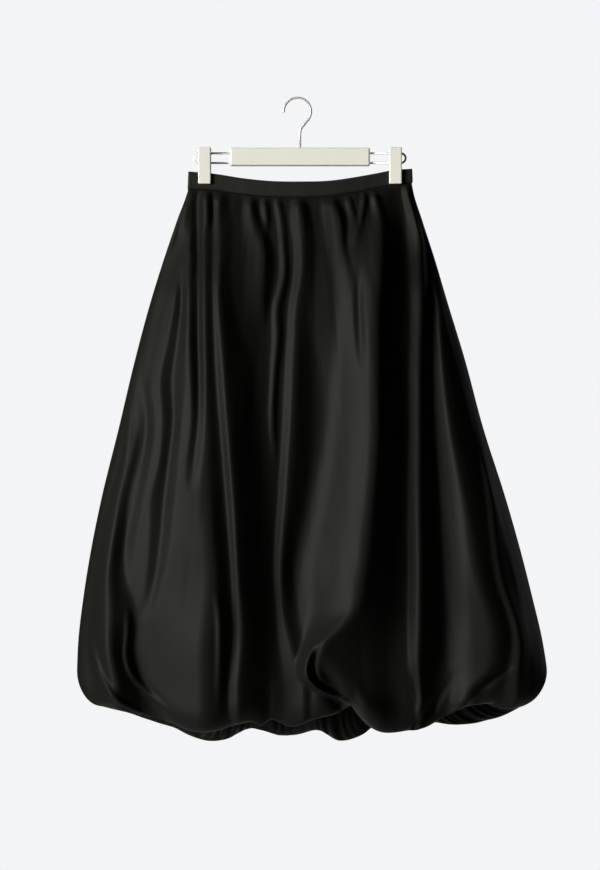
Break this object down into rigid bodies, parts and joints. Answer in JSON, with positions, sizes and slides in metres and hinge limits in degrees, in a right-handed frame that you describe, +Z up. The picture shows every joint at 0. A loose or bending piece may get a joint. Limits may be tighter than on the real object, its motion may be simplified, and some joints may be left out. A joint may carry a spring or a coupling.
{
  "type": "balloon skirt on a clip hanger",
  "caption": "Black satin balloon skirt with a narrow waistband and a rolled-under, gathered hem, hanging by its waistband from a plain clip hanger.",
  "frame": {"origin": "inner top of the hanger's hook, where it rests on a rail", "axes": "+Z up, the skirt's front towards -Y, +X to the right when looking at the front"},
  "size_m": [0.7046, 0.2233, 0.9722],
  "materials": {
    "satin": "black satin weave, soft directional sheen",
    "hanger_plastic": "cream moulded plastic, satin",
    "hanger_steel": "bright nickel-plated wire"
  },
  "bodies": {
    "root": {"waistband_front": "satin", "waistband_back": "satin", "skirt_front": "satin", "skirt_back": "satin", "hanger_hook": "hanger_steel", "hanger_rod_left": "hanger_steel", "hanger_rod_right": "hanger_steel", "hanger_bar": "hanger_plastic", "clip_left": "hanger_plastic", "clip_right": "hanger_plastic"}
  },
  "joints": []
}
